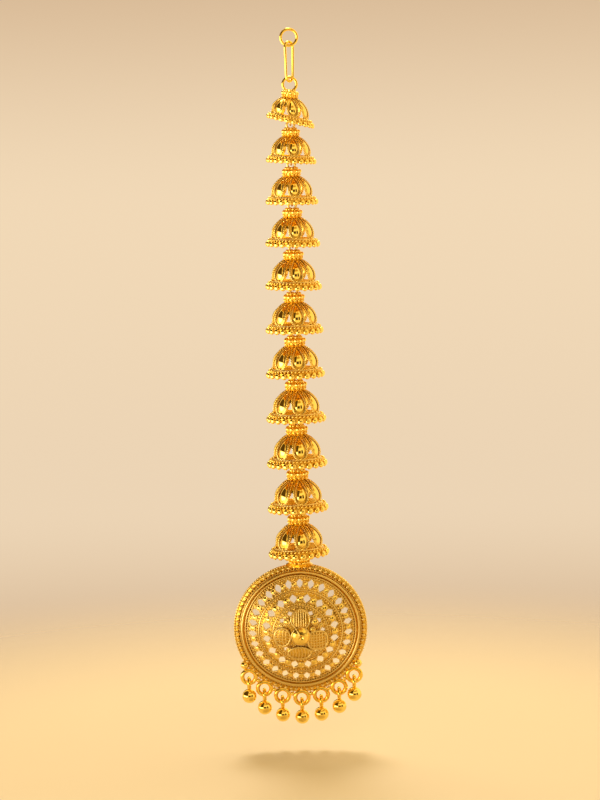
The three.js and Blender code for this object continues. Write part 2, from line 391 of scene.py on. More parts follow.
def drawn_wire(points, thickness, finish, closed=False, lay_length=0.0, softness=1):
    """Wire along a row of points, plain, or with a lay length two strands twisted together."""
    curve = bpy.data.curves.new("wire", "CURVE")
    curve.dimensions = "3D"
    spline = curve.splines.new("POLY")
    spline.points.add(len(points) - 1)
    along = 0.0
    previous = points[0]
    for spot, point in zip(spline.points, points):
        along += (Vector(point) - Vector(previous)).length
        previous = point
        spot.co = (*point, 1.0)
        spot.radius = thickness if lay_length else 1.0
        if lay_length:
            spot.tilt = tau * along / lay_length
    spline.use_cyclic_u = closed
    curve.use_fill_caps = True
    section = None
    if lay_length:
        section = rope_section()
        curve.bevel_mode = "OBJECT"
        curve.bevel_object = section
    else:
        curve.bevel_depth = thickness / 2
        curve.bevel_resolution = softness
    obj = bpy.data.objects.new("wire", curve)
    bpy.context.scene.collection.objects.link(obj)
    take(obj)
    bpy.ops.object.convert(target="MESH")
    if section:
        thrown_away(section)
    take(obj)
    return fresh(finish)


# ------------------------------------------------------------------ materials


def feed(tree, node, inputs):
    """Links sockets to a node's inputs, or sets them to plain values, by name or number."""
    for label, value in inputs.items():
        socket = node.inputs[label]
        if isinstance(value, bpy.types.NodeSocket):
            tree.links.new(value, socket)
        elif socket.type == "RGBA":
            socket.default_value = (*value, 1.0)
        else:
            socket.default_value = value


def added(tree, kind, inputs, **settings):
    """Adds a shader node with these inputs and settings, and gives its outputs."""
    node = tree.nodes.new(f"ShaderNode{kind}")
    for setting, value in settings.items():
        setattr(node, setting, value)
    feed(tree, node, inputs)
    return node.outputs


def calculated(tree, operation, *values):
    """The result of a maths node on sockets and plain numbers."""
    return added(tree, "Math", dict(enumerate(values)), operation=operation)[0]


def share_between(tree, value, first, last, **settings):
    """Nought where a value is at the first limit, one where it is at the last."""
    inputs = {"Value": value, "From Min": first, "From Max": last}
    return added(tree, "MapRange", inputs, **settings)["Result"]


def mixed(tree, amount, below, above):
    """Colour mixed by an amount. Each colour is a socket or a plain value."""
    return added(tree, "Mix", {"Factor": amount, "A": below, "B": above}, data_type="RGBA")["Result"]


def noise(tree, vector, scale, detail=3.0):
    return added(tree, "TexNoise", {"Vector": vector, "Scale": scale, "Detail": detail})["Fac"]


def node_group(name, inputs, outputs):
    """A shader node group with named sockets: the group, what goes in, and its end node."""
    group = bpy.data.node_groups.new(name, "ShaderNodeTree")
    for direction, sockets in (("INPUT", inputs), ("OUTPUT", outputs)):
        for label, kind in sockets.items():
            group.interface.new_socket(name=label, in_out=direction, socket_type=f"NodeSocket{kind}")
    start = group.nodes.new("NodeGroupInput")
    end = group.nodes.new("NodeGroupOutput")
    return group, start.outputs, end


def gold_tone_group():
    """Cloudy change between two golds, as in soldered work that was pickled and rubbed."""
    inputs = {"Vector": "Vector", "Scale": "Float", "Bright": "Color", "Rich": "Color"}
    group, given, end = node_group("gold_tone", inputs, {"Color": "Color"})
    cloud = noise(group, given["Vector"], given["Scale"])
    spread = share_between(group, cloud, 0.35, 0.65)
    feed(group, end, {"Color": mixed(group, spread, given["Rich"], given["Bright"])})
    return group


def hand_finish_group():
    """The slight unevenness that a file and a burnisher leave: a height and a roughness."""
    inputs = {"Vector": "Vector", "Scale": "Float", "Roughness": "Float", "Spread": "Float"}
    group, given, end = node_group("hand_finish", inputs, {"Height": "Float", "Roughness": "Float"})
    wave = noise(group, given["Vector"], given["Scale"], detail=4.0)
    centred = calculated(group, "SUBTRACT", wave, 0.5)
    rough = calculated(group, "MULTIPLY_ADD", centred, given["Spread"], given["Roughness"])
    feed(group, end, {"Height": wave, "Roughness": rough})
    return group


# Each finish: how satin it is, how much its roughness varies, how deep its unevenness is in
# millimetres, the scales of both patterns, how rich its colour is and how much painted shade darkens it.
FINISH_COLUMNS = ("satin", "spread", "depth", "wave", "tone", "rich", "painted_shade_share")
FINISHES = {
    "mirror_gold": (0.0, 0.04, 0.006, 500, 300, 0.3, 0.0),
    "wire_gold": (0.05, 0.06, 0.01, 1500, 250, 0.25, 0.0),
    "hoop_gold": (0.35, 0.1, 0.012, 1500, 250, 0.9, 0.0),
    "bead_gold": (0.2, 0.1, 0.012, 1800, 400, 0.3, 0.0),
    "dome_gold": (0.6, 0.15, 0.03, 3000, 300, 0.6, 0.0),
    # The cast, pierced and ground golds are darkened with painted shade for grooves and the gaps between
    # wires.
    "cast_gold": (0.9, 0.2, 0.035, 3800, 350, 1.0, 0.35),
    "pierced_gold": (1.0, 0.2, 0.05, 3000, 260, 1.0, 0.7),
    "ground_gold": (1.0, 0.2, 0.05, 3000, 260, 1.0, 0.75),
}


def blended(a, b, amount):
    return tuple(x + (y - x) * amount for x, y in zip(a, b))


def gold(name):
    """The material of one of the finishes, made the first time that it is asked for."""
    if name in bpy.data.materials:
        return bpy.data.materials[name]
    look = bpy.context.scene.tikka_gold
    row = dict(zip(FINISH_COLUMNS, FINISHES[name]))
    # Both golds are darkened towards the painted shade colour by the finish's share of painted shade.
    bright = blended(blended(look.bright, look.rich, 0.4 * row["rich"]), look.recess, 0.7 * row["painted_shade_share"])
    rich = blended(blended(look.bright, look.rich, row["rich"]), look.recess, row["painted_shade_share"])
    roughness = look.polish + (look.satin - look.polish) * row["satin"]
    groups = bpy.data.node_groups
    tone_group = groups.get("gold_tone") or gold_tone_group()
    hand_group = groups.get("hand_finish") or hand_finish_group()
    material = bpy.data.materials.new(name)
    material.use_nodes = True
    tree = material.node_tree
    place = added(tree, "TexCoord", {})["Object"]
    inputs = {"Vector": place, "Scale": row["tone"], "Bright": bright, "Rich": rich}
    tone = added(tree, "Group", inputs, node_tree=tone_group)
    inputs = {"Vector": place, "Scale": row["wave"], "Roughness": roughness, "Spread": row["spread"]}
    hand = added(tree, "Group", inputs, node_tree=hand_group)
    bump = added(tree, "Bump", {"Height": hand["Height"], "Distance": row["depth"] * MM})
    feed(tree, tree.nodes["Principled BSDF"], {
        "Metallic": 1.0, "Base Color": tone["Color"], "Roughness": hand["Roughness"],
        "Normal": bump["Normal"],
    })
    return material


# -------------------------------------------------------------- the top wires


def stretched(obj, gap):
    """Draws a ring out into a long link: its upper half goes up and its lower half down."""
    for side in (1, -1):
        edit(obj)
        pick(obj, lambda place: place.z * side > 0)
        bpy.ops.transform.translate(value=(0, 0, side * gap))
    begin()
    return obj


def long_link(sizes):
    """The long link under the top ring, narrower at its foot and turned a little."""
    low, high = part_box("long_link")
    half = (high.z - low.z) / 2
    link = ring(sizes.link_radius, sizes.link_wire, "hoop_gold", turn=ACROSS_Y, steps=64, sides=16)
    stretched(link, half - sizes.link_radius - sizes.link_wire / 2)
    edit(link, everything=True)
    bpy.ops.mesh.bisect(plane_co=(0, 0, 0), plane_no=(0, 0, 1))
    begin()
    turn = Matrix.Rotation(radians(90 - LONG_LINK_TURN), 4, "Z")
    centre = Vector((0, 0, (low.z + high.z) / 2))

    def narrowed(place):
        down = (half - place.z) / (2 * half)
        return turn @ Vector((place.x * (1 - (1 - sizes.link_foot) * down), place.y, place.z)) + centre

    return lay(link, narrowed)


class TIKKA_OT_top_wires(bpy.types.Operator):
    """Make the top ring and the long link below it"""

    bl_idname = "tikka.top_wires"
    bl_label = "Top wires"

    def execute(self, context):
        sizes = context.scene.tikka_wires
        radius = sizes.ring_radius
        hoop = ring(radius, sizes.ring_wire, "hoop_gold", turn=ACROSS_Y, steps=64, sides=16)
        seam = ring(sizes.ring_wire / 2, 0.07 * MM, "hoop_gold", (radius, 0, 0), steps=16, sides=6)
        finished(joined("top_ring_wire", [hoop, seam]), "chain", "wire_gold", "top_ring")
        finished(joined("long_link_wire", [long_link(sizes)]), "chain", "wire_gold", "long_link")
        return {"FINISHED"}


# ------------------------------------------------------------------ the bells


def bell_scale(index):
    above = 1 - index / (BELL_COUNT - 1)
    return 1 - BELL_TAPER * above * above


def bell_heights():
    """Heights of the bead rows, from the first bell down."""
    heights = [FIRST_BELL_Z]
    for i in range(1, BELL_COUNT):
        mean_width = BELL_WIDTH * (bell_scale(i - 1) + bell_scale(i)) / 2
        heights.append(heights[-1] - PITCH_BASE - PITCH_SHARE * mean_width)
    return heights


def crown_eye_z(index):
    return bell_heights()[index] + CROWN_TOP * bell_scale(index) + EYE_RISE


def inner_eye_z(index):
    return bell_heights()[index] + INNER_EYE_Z * bell_scale(index) - EYE_RISE


def small_eye(height):
    """An eye soldered inside a bell, on a crown or on the collar."""
    return ring(EYE["radius"], EYE["wire"], "wire_gold", (0, 0, height), ACROSS_Y, 24, 8)


def egg_radius(height):
    lift = (height - EGG["middle"]) / EGG["rise"]
    power = EGG["taper"] if lift > 0 else 0.5
    return EGG["reach"] * max(0.0, 1 - lift * lift) ** power


def on_dome(across, height, out):
    """A point on a bell's dome: so far across from the front, so high, and so far out from the wall."""
    radius = egg_radius(height)
    slope = Vector((radius / EGG["reach"] ** 2, (height - EGG["middle"]) / EGG["rise"] ** 2)).normalized()
    angle = across / max(radius, 0.1 * MM)
    reach = radius + out * slope.x
    return Vector((reach * sin(angle), -reach * cos(angle), height + out * slope.y))


TIP = 1.0887                         # makes the widest place of a teardrop one wide


def teardrop(x, z):
    """Makes the unit disc a teardrop with its point up."""
    return x * sqrt(max(0.0, 1 - z)) / TIP, z


def mirror_petal(sizes):
    """A bulging polished teardrop on the front of the dome."""
    lens = ball(1.0, "mirror_gold", segments=40, rings=24, turn=ACROSS_Y)
    edit(lens, everything=True)
    bpy.ops.mesh.bisect(plane_co=(0, 0, 0), plane_no=(0, 1, 0), clear_outer=True)
    begin()

    def bulging(place):
        x, z = teardrop(place.x, place.z)
        out = sizes.petal_rise * place.y * place.y - 0.1 * MM
        return on_dome(x * sizes.petal_width, sizes.petal_middle + z * sizes.petal_height, out)

    return lay(lens, bulging)


def petal_seat(sizes):
    """A seat round a mirror petal, darkened with painted shade so that it shows as a dark line of painted
    wire shadow.
    """
    begin()
    bpy.ops.mesh.primitive_circle_add(vertices=40, radius=1, fill_type="NGON", rotation=ACROSS_Y)
    seat = fresh("ground_gold")
    edit(seat, everything=True)
    for _ in range(4):
        bpy.ops.mesh.inset(thickness=0.22)
    bpy.ops.mesh.poke()
    begin()

    def behind_petal(place):
        x, z = teardrop(place.x, place.z)
        across = x * (sizes.petal_width + 0.9 * sizes.wire)
        return on_dome(across, sizes.petal_middle + z * (sizes.petal_height + 0.9 * sizes.wire), 0.035 * MM)

    return lay(seat, behind_petal)


def petal_wire(sizes):
    """The plain wire that holds a mirror petal."""
    steps = 44
    points = []
    for i in range(steps):
        angle = tau * i / steps + pi / 2
        x, z = teardrop(cos(angle), sin(angle))
        across = x * (sizes.petal_width + 0.95 * sizes.wire)
        height = sizes.petal_middle + z * (sizes.petal_height + 0.95 * sizes.wire)
        points.append(on_dome(across, height, 0.14 * MM))
    return drawn_wire(points, sizes.wire, "wire_gold", closed=True)


ROPE_FOOT = 1.5 * MM                 # lowest point of the rope round a petal
ROPE_SHOULDER = 3.1 * MM             # where it is widest
ROPE_TOP = 6.75 * MM                 # where it reaches the crown
ROPE_FAN = (18.3, 22.5)              # degrees off the petal's middle, at the shoulder and at the top


def rope_points(out):
    """Down from the crown, round a petal's foot and up again."""
    right = []
    rises = 22
    for i in range(rises + 1):
        height = ROPE_TOP + (ROPE_SHOULDER - ROPE_TOP) * i / rises
        fan = radians(ROPE_FAN[1] + (ROPE_FAN[0] - ROPE_FAN[1]) * i / rises)
        right.append((fan * egg_radius(height), height))
    bends = 26
    for i in range(1, bends):
        angle = pi * i / bends
        half = radians(ROPE_FAN[0]) * egg_radius(ROPE_SHOULDER)
        right.append((half * cos(angle), ROPE_SHOULDER - (ROPE_SHOULDER - ROPE_FOOT) * sin(angle)))
    left = [(-across, height) for across, height in reversed(right[: rises + 1])]
    return [on_dome(across, height, out) for across, height in right + left]


def petal_rope(sizes):
    """The twisted wire round a petal."""
    path = rope_points(0.14 * MM)
    finer = []
    for a, b in zip(path, path[1:]):
        finer += [a, (a + b) / 2]
    return drawn_wire(finer + path[-1:], sizes.rope, "bead_gold", lay_length=0.95 * MM)


def window_cutter(sizes):
    """Prisms through the dome between the petals' feet, arched triangles with their point up."""
    begin()
    bpy.ops.mesh.primitive_circle_add(vertices=24, radius=1, fill_type="NGON", rotation=ACROSS_Y)
    cutter = fresh("cast_gold")

    def arched(place):
        rise = (place.z + 1) / 2
        narrow = (1 - rise) ** 0.55
        return Vector((
            (1 if place.x > 0 else -1) * min(1.0, abs(place.x) * 3) * narrow * sizes.window / 2,
            -3.0 * MM,
            WINDOW["foot"] + rise * (WINDOW["top"] - WINDOW["foot"]),
        ))

    lay(cutter, arched)
    edit(cutter, everything=True)
    bpy.ops.mesh.extrude_region_move(TRANSFORM_OT_translate={"value": (0, -4.0 * MM, 0)})
    bpy.ops.mesh.select_all(action="SELECT")
    bpy.ops.transform.rotate(value=-pi / PETALS, orient_axis="Z", center_override=(0, 0, 0))
    begin()
    round_about(cutter, PETALS)
    return outward(cutter)


def bell_wall(sizes):
    """The thin dome with its windows."""
    wall = ball(1.0, "dome_gold", segments=98, rings=48)
    edit(wall, everything=True)
    foot, top = ((SHELL[end] - EGG["middle"]) / EGG["rise"] for end in ("foot", "top"))
    bpy.ops.mesh.bisect(plane_co=(0, 0, foot), plane_no=(0, 0, 1), clear_inner=True)
    bpy.ops.mesh.select_all(action="SELECT")
    bpy.ops.mesh.bisect(plane_co=(0, 0, top), plane_no=(0, 0, 1), clear_outer=True)
    begin()

    def egg_shaped(place):
        height = EGG["middle"] + place.z * EGG["rise"]
        wider = egg_radius(height) / hypot(place.x, place.y)
        return Vector((place.x * wider, place.y * wider, height))

    lay(wall, egg_shaped)
    modified(wall, "SOLIDIFY", thickness=SHELL["wall"], offset=-1.0)
    cutter = window_cutter(sizes)
    modified(wall, "BOOLEAN", object=cutter, operation="DIFFERENCE", solver="EXACT")
    thrown_away(cutter)
    take(wall)
    bpy.ops.object.shade_smooth_by_angle(angle=radians(40))
    return wall


# Sections of turned walls, as radius and height.
FLANGE_WALL = in_mm(
    (4.72, 1.4), (5.3, 1.32), (5.7, 1.12), (5.9, 0.85), (5.85, 0.3), (5.75, -0.15), (5.5, -0.2),
    (5.35, 0.3), (5.0, 0.85),
)
CROWN_WALL = in_mm(
    (0.3, 8.55), (1.1, 8.5), (1.8, 8.15), (2.2, 7.8), (2.0, 7.3), (1.9, 7.0), (2.2, 6.6), (1.8, 6.4),
    (0.3, 6.4),
)


def bell_flange(sizes):
    """The plate under the dome, its smooth band, its granules and its row of beads."""
    band = ring(4.9 * MM, 0.46 * MM, "wire_gold", at=(0, 0, 1.42 * MM), steps=84, sides=10)
    # The plate's ground gold is darkened with painted shade between the band, the granules and the beads.
    plate = turned(FLANGE_WALL, "ground_gold")
    low_row = granules(44, sizes.granule, 5.72 * MM, "bead_gold", height=1.2 * MM)
    beads = ball(
        sizes.bead, "mirror_gold", at=(0, -sizes.bead_row, 0.25 * MM), scale=(1, 0.66, 1),
    )
    round_about(beads, sizes.beads)
    return [band, plate, low_row, beads]


def bell_crown():
    """The rosette of balls on top, its cap, and the small granules under it."""
    cap = turned(CROWN_WALL, "dome_gold", segments=36)
    rosette = granules(9, 0.54 * MM, 1.95 * MM, "bead_gold", height=7.72 * MM, segments=10, rings=7)
    collar = granules(15, 0.24 * MM, 2.15 * MM, "bead_gold", height=6.95 * MM)
    upper = granules(10, 0.34 * MM, 1.4 * MM, "bead_gold", height=8.42 * MM)
    return [cap, rosette, collar, upper]


def whole_bell(sizes):
    """One bell at full size, its bead row at z = 0 and a petal at the very front."""
    petals = []
    for part in (mirror_petal(sizes), petal_seat(sizes), petal_wire(sizes), petal_rope(sizes)):
        petals.append(round_about(part, PETALS))
    feet = granules(PETALS, 0.3 * MM, 4.98 * MM, "bead_gold", height=1.72 * MM)
    bell = joined("bell_pattern", [bell_wall(sizes), *petals, feet, *bell_flange(sizes), *bell_crown()])
    turn = Matrix.Rotation(radians(BELL_TURN), 4, "Z")
    return lay(bell, lambda place: turn @ place)


def bell_at(pattern, index):
    """A copy of the bell at its own size and height, with its rim askew."""
    size = bell_scale(index)
    slope = tan(radians(RIM_SLOPE[index]))
    height = bell_heights()[index]

    def askew(place):
        x, y, z = (value * size for value in place)
        stiffer = slope * (1 - CROWN_STIFFNESS * z / (CROWN_TOP * size))
        return Vector((x, y, height + z - x * stiffer))

    return lay(twin(pattern), askew)


class TIKKA_OT_bells(bpy.types.Operator):
    """Model one bell and hang eleven copies of it, each with its eyes"""

    bl_idname = "tikka.bells"
    bl_label = "Bells"

    def execute(self, context):
        sizes = context.scene.tikka_bells
        wires = context.scene.tikka_wires
        pattern = whole_bell(sizes)
        for i in range(BELL_COUNT):
            inner = small_eye(inner_eye_z(i))
            top = small_eye(crown_eye_z(i)) if i else crown_ring(wires)
            node = f"bell_{i + 1:02d}"
            bell = joined(f"{node}_gold", [bell_at(pattern, i), inner, top])
            finished(bell, "chain", "bell_gold", node)
        thrown_away(pattern)
        return {"FINISHED"}


def crown_ring(wires):
    """The ring on the first bell, its top at the top of the CAD bell."""
    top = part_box("bell_01")[1].z
    place = (0, 0, top - wires.crown_radius - CROWN_RING_WIRE / 2)
    return ring(wires.crown_radius, CROWN_RING_WIRE, "hoop_gold", place, ACROSS_Y, 48, 14)


class TIKKA_OT_links(bpy.types.Operator):
    """Make the plain links hidden inside the bells"""

    bl_idname = "tikka.links"
    bl_label = "Hidden links"

    def execute(self, context):
        for i in range(BELL_COUNT):
            top = inner_eye_z(i)
            bottom = crown_eye_z(i + 1) if i + 1 < BELL_COUNT else PIVOT_Z
            link = ring(LINK["radius"], LINK["wire"], "wire_gold", turn=ACROSS_X, steps=28, sides=8)
            stretched(link, (top - bottom) / 2 - LINK["radius"])
            middle = Vector((0, 0, (top + bottom) / 2))
            lay(link, lambda place: place + middle)
            node = f"link_{i + 1:02d}"
            body = "chain" if i + 1 < BELL_COUNT else "hanger"
            finished(joined(f"{node}_wire", [link]), body, "wire_gold", node)
        return {"FINISHED"}


# -------------------------------------------------------------- the medallion


def disc_place():
    """From the disc's own frame, its face towards -Y, to where it hangs."""
    drop = COLLAR_TOP + EYE_RISE
    lean = Matrix.Translation((0, 0, PIVOT_Z)) @ Matrix.Rotation(radians(LEAN), 4, "X")
    return lean @ Matrix.Translation((0, -EYE_BEHIND, -drop))


def hung(obj):
    """Moves work from the disc's frame to where the medallion hangs."""
    place = disc_place()
    return lay(obj, lambda spot: place @ spot)


def faced(obj):
    """Turns work that lies flat, its face up, so that it faces the front."""
    return lay(obj, lambda spot: Vector((spot.x, -spot.z, spot.y)))


def dome_rise(r):
    return DOME["rise"] * (1 - (r / DOME["span"]) ** 2)


def domed(obj):
    """Lays flat work, its face up, on the dome."""
    return lay(obj, lambda spot: Vector((spot.x, spot.y, spot.z + dome_rise(hypot(spot.x, spot.y)))))


def loop_spots():
    """The middles of the hanging loops, in the disc's frame."""
    spots = []
    for i in range(DROPS):
        angle = radians((i - (DROPS - 1) / 2) * LOOP["step"])
        spots.append(Vector((LOOP["place"] * sin(angle), LOOP["y"], -LOOP["place"] * cos(angle))))
    return spots


RIM_WALL = in_mm(
    (12.1, -0.75), (11.75, -0.55), (11.65, 0.3), (11.95, 0.25), (12.15, -0.1), (12.45, 0.1),
    (12.7, -0.2), (13.05, -0.2), (13.4, 0.05), (13.9, -0.12), (14.1, -0.4), (14.05, -0.7),
    (13.5, -0.75),
)
COLLAR_WALL = in_mm(
    (0.3, 15.95), (1.6, 15.9), (2.3, 15.6), (2.3, 15.2), (1.9, 14.75), (2.1, 14.3), (2.9, 13.9),
    (1.5, 13.6), (0.3, 13.6),
)


def rim_band(sizes):
    """Border, raised double ring and flat back, modelled face up."""
    # The band's cast gold is darkened with painted shade in its grooves between the rings.
    band = turned(RIM_WALL, "cast_gold", segments=120)
    raised = ring(12.5 * MM, sizes.ring_wire, "wire_gold", at=(0, 0, 0.5 * MM), steps=144, sides=14)
    inner = ring(11.8 * MM, sizes.inner_wire, "wire_gold", at=(0, 0, 0.5 * MM), steps=144, sides=10)
    outer = ring(12.9 * MM, 0.24 * MM, "wire_gold", at=(0, 0, 0.08 * MM), steps=144, sides=8)
    edge = ring(14.1 * MM, 0.3 * MM, "bead_gold", at=(0, 0, -0.5 * MM), steps=144, sides=8)
    studs = granules(74, sizes.stud, 13.52 * MM, "wire_gold", height=0.14 * MM, segments=9, rings=6)
    fine = granules(148, 0.24 * MM, 14.08 * MM, "wire_gold", height=-0.14 * MM)
    foot = granules(140, 0.14 * MM, 13.12 * MM, "bead_gold", height=0.0)
    return [faced(part) for part in (band, raised, inner, outer, edge, studs, fine, foot)]


def rim_collar():
    """The flared collar with its rosette and the eye that hangs in the last link."""
    stem = turned(COLLAR_WALL, "dome_gold", segments=36)
    rosette = granules(9, 0.52 * MM, 2.1 * MM, "bead_gold", height=15.4 * MM, segments=12, rings=8)
    lower = granules(14, 0.28 * MM, 2.1 * MM, "bead_gold", height=14.6 * MM, segments=8, rings=6)
    eye = small_eye(COLLAR_TOP + EYE_RISE)
    behind = Vector((0, EYE_BEHIND, 0))
    return [lay(part, lambda spot: spot + behind) for part in (stem, rosette, lower, eye)]


def rim_loops():
    """The half-round loops, the granules between them and the end balls."""
    parts = []
    for spot in loop_spots():
        parts.append(ring(LOOP["radius"], LOOP["wire"], "hoop_gold", spot, ACROSS_Y, 36, 12))
    for i in range(DROPS - 1):
        angle = radians((i - (DROPS - 2) / 2) * LOOP["step"])
        for off, place, size in ((0.0, 14.75, 0.46), (-3.1, 14.62, 0.36), (3.1, 14.62, 0.36)):
            turn = angle + radians(off)
            spot = (place * MM * sin(turn), LOOP["y"], -place * MM * cos(turn))
            parts.append(ball(size * MM, "bead_gold", spot, 10, 7))
    for side in (-1, 1):
        angle = radians(side * END_BALL["angle"])
        spot = (END_BALL["place"] * sin(angle), 0, -END_BALL["place"] * cos(angle))
        parts.append(ball(END_BALL["radius"], "mirror_gold", spot, 24, 16))
    return parts


class TIKKA_OT_rim(bpy.types.Operator):
    """Make the medallion's border, raised ring, collar, loops and end balls"""

    bl_idname = "tikka.rim"
    bl_label = "Medallion rim"

    def execute(self, context):
        sizes = context.scene.tikka_medallion
        rim = joined("medallion_rim_gold", [*rim_band(sizes), *rim_collar(), *rim_loops()])
        finished(hung(rim), "pendant", "rim_gold", "medallion_rim")
        return {"FINISHED"}


# The pierced bands: radius of their gaps, half width and half height, and the cups' radius.
OUTER_BAND = {"radius": 10.25 * MM, "wide": 0.86 * MM, "tall": 0.98 * MM, "cup": 0.52 * MM}
INNER_BAND = {"radius": 7.35 * MM, "wide": 0.95 * MM, "tall": 0.9 * MM, "cup": 0.66 * MM}
CORE_BAND = {"radius": 4.72 * MM, "wide": 0.58 * MM, "tall": 0.58 * MM, "cup": 0.4 * MM}

# Circles of granules on the dome: radius in millimetres, how many, and size against the usual granule.
GRANULE_ROWS = [
    (11.5, 132, 1.0), (11.15, 124, 0.8), (9.28, 104, 1.05), (8.55, 96, 1.05),
    (6.25, 70, 1.1), (5.55, 60, 1.1), (3.65, 36, 1.0), (3.25, 40, 1.0),
    (2.85, 31, 1.0), (2.4, 26, 1.0),
]

# Plain wires round the dome: radius and thickness.
PLAIN_RINGS = in_mm((8.92, 0.3), (5.86, 0.26), (11.32, 0.16), (3.95, 0.2))


def bands(sizes):
    """Each pierced band with its number of gaps."""
    return (OUTER_BAND, sizes.outer_gaps), (INNER_BAND, sizes.inner_gaps), (CORE_BAND, sizes.core_gaps)


def gap_cutter(band, count):
    """Diamond prisms where a band is pierced, modelled face up."""
    begin()
    bpy.ops.mesh.primitive_cylinder_add(vertices=4, radius=1, depth=16 * MM)
    cutter = fresh("pierced_gold")
    scale = Matrix.Diagonal((band["wide"], band["tall"], 1))
    middle = Vector((0, -band["radius"], 0))
    lay(cutter, lambda spot: scale @ spot + middle)
    round_about(cutter, count)
    edit(cutter, everything=True)
    bpy.ops.transform.rotate(value=pi / count, orient_axis="Z", center_override=(0, 0, 0))
    begin()
    return outward(cutter)


def pierced_plate(sizes):
    """The thin dome with its three bands of gaps, modelled face up."""
    begin()
    bpy.ops.mesh.primitive_circle_add(vertices=108, radius=DOME["edge"], fill_type="NGON")
    # The plate's pierced gold is darkened with painted shade between the wires and granules.
    plate = fresh("pierced_gold")
    edit(plate, everything=True)
    rings = 15
    for _ in range(rings):
        bpy.ops.mesh.inset(thickness=DOME["edge"] / (rings + 1))
    bpy.ops.mesh.poke()
    bpy.ops.mesh.select_all(action="SELECT")
    bpy.ops.transform.rotate(value=radians(0.9), orient_axis="Z", center_override=(0, 0, 0))
    begin()
    domed(plate)
    modified(plate, "SOLIDIFY", thickness=DOME["wall"], offset=-1.0)
    for band, count in bands(sizes):
        cutter = gap_cutter(band, count)
        modified(plate, "BOOLEAN", object=cutter, operation="DIFFERENCE", solver="EXACT")
        thrown_away(cutter)
    take(plate)
    bpy.ops.object.shade_smooth_by_angle(angle=radians(40))
    return plate


def cup_row(band, count):
    """Little round cups between the gaps of a band: a bezel wire with a polished ball sunk in it."""
    cup = band["cup"]
    middle = -band["radius"]
    bezel = ring(cup, 0.26 * MM, "wire_gold", (0, middle, 0.16 * MM), steps=18, sides=6)
    seat = ball(cup, "mirror_gold", (0, middle, 0.02 * MM), 14, 8, scale=(1, 1, 0.42))
    stops = []
    for reach in (-1.62, 1.62):
        stops.append(ball(0.23 * MM, "bead_gold", (0, middle - reach * cup, 0.1 * MM), 7, 5))
    return [round_about(part, count) for part in (bezel, seat, *stops)]


def lattice(band, count):
    """Thin wires that edge the gaps, crossing from cup to cup."""
    parts = []
    half = pi / count
    for side in (-1, 1):
        points = []
        for i in range(9):
            swing = cos(pi * i / 8)
            angle = half * (2 * i / 8 - 1)
            reach = band["radius"] + side * (0.25 + 0.75 * (1 - abs(swing))) * (band["tall"] + 0.12 * MM)
            points.append((reach * sin(angle), -reach * cos(angle), 0.08 * MM))
        parts.append(round_about(drawn_wire(points, 0.26 * MM, "wire_gold", softness=0), count))
    for part in parts:
        turn = Matrix.Rotation(half, 4, "Z")
        lay(part, lambda spot: turn @ spot)
    return parts


class TIKKA_OT_dome(bpy.types.Operator):
    """Make the pierced dome with its wires, cups and granules"""

    bl_idname = "tikka.dome"
    bl_label = "Filigree dome"

    def execute(self, context):
        sizes = context.scene.tikka_medallion
        parts = []
        for reach, count, size in GRANULE_ROWS:
            radius = sizes.granule * size
            parts.append(granules(count, radius, reach * MM, "wire_gold", height=0.05 * MM))
        for radius, wire in PLAIN_RINGS:
            parts.append(ring(radius, wire, "wire_gold", (0, 0, 0.08 * MM), steps=108, sides=8))
        for band, count in bands(sizes):
            parts += cup_row(band, count)
            parts += lattice(band, count)
        parts = [domed(part) for part in parts]
        dome = joined("filigree_dome_gold", [pierced_plate(sizes), *parts])
        finished(hung(faced(dome)), "pendant", "filigree_gold", "filigree_dome")
        return {"FINISHED"}


# ------------------------------------------------------------------ the flower


def raised_shape(outline, thickness, finish, crown=0.0):
    """A low plate through a closed outline of x and y, its middle bulging by crown."""
    begin()
    bpy.ops.mesh.primitive_circle_add(vertices=len(outline), radius=1, fill_type="NGON")
    plate = fresh(finish)
    for vert, (x, y) in zip(plate.data.vertices, outline):
        vert.co = (x, y, 0)
    edit(plate, everything=True)
    bpy.ops.mesh.extrude_region_move(TRANSFORM_OT_translate={"value": (0, 0, thickness)})
    for _ in range(3):
        bpy.ops.mesh.inset(thickness=0.28 * MM)
        bpy.ops.transform.translate(value=(0, 0, crown / 3))
    begin()
    return outward(plate)


def spade(centre, radius, neck):
    """The top petal's outline: a round head that runs into a narrow neck."""
    points = []
    steps = 28
    for i in range(steps + 1):
        angle = radians(-58 + 296 * i / steps)
        point = 1 + 0.1 * max(0.0, sin(angle)) ** 6
        points.append((radius * cos(angle), centre + radius * point * sin(angle)))
    return points + [(-neck, 0.4 * MM), (neck, 0.4 * MM)]


def oval(centre, half_wide, half_tall, squareness=0.0):
    """The outline of a side petal or of the bottom one."""
    x, y = centre
    points = []
    steps = 30
    for i in range(steps):
        angle = tau * i / steps
        swell = 1 + squareness * sin(2 * angle) ** 2
        points.append((x + half_wide * swell * cos(angle), y + half_tall * swell * sin(angle)))
    return points


def inside(outline, x, y):
    """Whether a point lies inside a closed outline."""
    hit = False
    for (ax, ay), (bx, by) in zip(outline, outline[1:] + outline[:1]):
        if (ay > y) != (by > y) and x < (bx - ax) * (y - ay) / (by - ay) + ax:
            hit = not hit
    return hit


def ribs_within(outline, paths, lift, sizes):
    """Thin wires along paths, kept only inside an outline."""
    parts = []
    for path in paths:
        kept = [point for point in path if inside(outline, *point)]
        if len(kept) > 2:
            points = [(x, y, lift) for x, y in kept]
            parts.append(drawn_wire(points, sizes.rib, "wire_gold"))
    return parts


